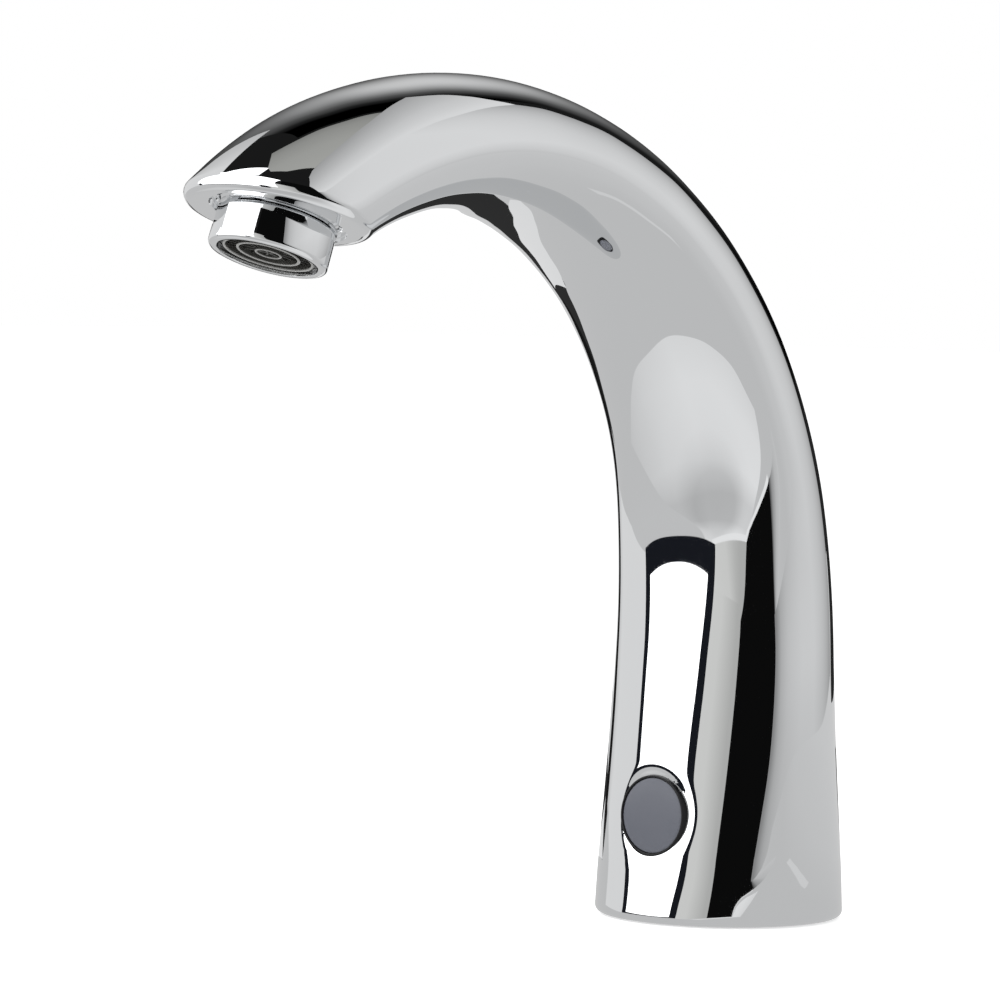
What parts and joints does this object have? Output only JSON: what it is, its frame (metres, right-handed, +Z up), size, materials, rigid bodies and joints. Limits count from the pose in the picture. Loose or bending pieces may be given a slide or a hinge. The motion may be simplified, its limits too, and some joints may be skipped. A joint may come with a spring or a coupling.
{
  "type": "sensor tap",
  "caption": "Touch-free washbasin tap: cast chromed gooseneck on a round foot, infra-red window low on the column, pilot valve and solenoid inside, screw-in aerator under the tip.",
  "frame": {"origin": "centre of the foot, on the surface that the tap stands on, midway between the two stud holes", "axes": "+Z up along the column, -Y towards the spout's tip, +X to the right of a user who faces the spout"},
  "size_m": [0.0525, 0.1803, 0.1739],
  "materials": {
    "polished_chrome": "polished, plated on cast brass",
    "window_plastic": "gloss, dark, passes infra-red",
    "bezel_plastic": "gloss black",
    "jet_plastic": "fine satin, dark grey",
    "strainer_plastic": "satin, grey",
    "regulator_plastic": "satin, blue",
    "seal_rubber": "matt black",
    "raw_brass": "machined",
    "stainless": "machined",
    "valve_plastic": "moulded, off-white",
    "coil_plastic": "moulded, black, over copper wire",
    "tube_plastic": "extruded, translucent white",
    "case_plastic": "moulded, black",
    "board_laminate": "solder mask, green",
    "diode_plastic": "clear dark violet",
    "lead_sheath": "matt black sheath"
  },
  "bodies": {
    "tap": {"spout_body": "polished_chrome", "base_plate": "raw_brass", "base_screws": "stainless", "base_seal": "seal_rubber", "cable_grommet": "seal_rubber", "inlet_riser": "raw_brass", "riser_seals": "seal_rubber", "inlet_strainer": "strainer_plastic", "valve_body": "valve_plastic", "valve_cover": "valve_plastic", "valve_screws": "stainless", "armature_tube": "stainless", "solenoid_coil": "coil_plastic", "solenoid_yoke": "stainless", "yoke_nut": "stainless", "solenoid_lead": "lead_sheath", "water_tube": "tube_plastic", "tube_seals": "seal_rubber", "sensor_lens": "window_plastic", "sensor_bezel": "bezel_plastic", "sensor_housing": "case_plastic", "sensor_seal": "seal_rubber", "sensor_board": "board_laminate", "ir_emitter": "diode_plastic", "ir_receiver": "diode_plastic", "light_baffle": "case_plastic", "sensor_clip": "stainless", "clip_screws": "stainless"},
    "armature": {"plunger": "stainless", "plunger_spring": "stainless"},
    "membrane": {"diaphragm_plate": "valve_plastic", "diaphragm": "seal_rubber"},
    "aerator_core": {"aerator_washer": "seal_rubber", "aerator_insert": "jet_plastic", "flow_regulator": "regulator_plastic", "aerator_strainer": "strainer_plastic"},
    "aerator_sleeve": {"aerator_housing": "polished_chrome"}
  },
  "joints": [
    {"name": "plunger_lift", "type": "slide", "parent": "tap", "child": "armature", "axis": [0, 0, 1], "range_m": [0, 0.0015], "stiffness_N_per_m": 120, "springref_m": -0.004, "deforming": ["plunger_spring"]},
    {"name": "diaphragm_lift", "type": "slide", "parent": "tap", "child": "membrane", "axis": [0, 0, 1], "range_m": [0, 0.001], "deforming": ["diaphragm"]},
    {"name": "aerator_drop", "type": "slide", "parent": "tap", "child": "aerator_core", "axis": [0, -0.342, -0.9397], "range_m": [0, 0.00601]},
    {"name": "aerator_turn", "type": "hinge", "parent": "aerator_core", "child": "aerator_sleeve", "pos_m": [0, -0.1388, 0.1442], "axis": [0, -0.342, -0.9397], "range_deg": [0, 2160]}
  ],
  "couplings": [
    {"joint": "diaphragm_lift", "follows": "plunger_lift", "ratio": 0.6666},
    {"joint": "aerator_drop", "follows": "aerator_turn", "m_per_rad": 0.00015915}
  ]
}
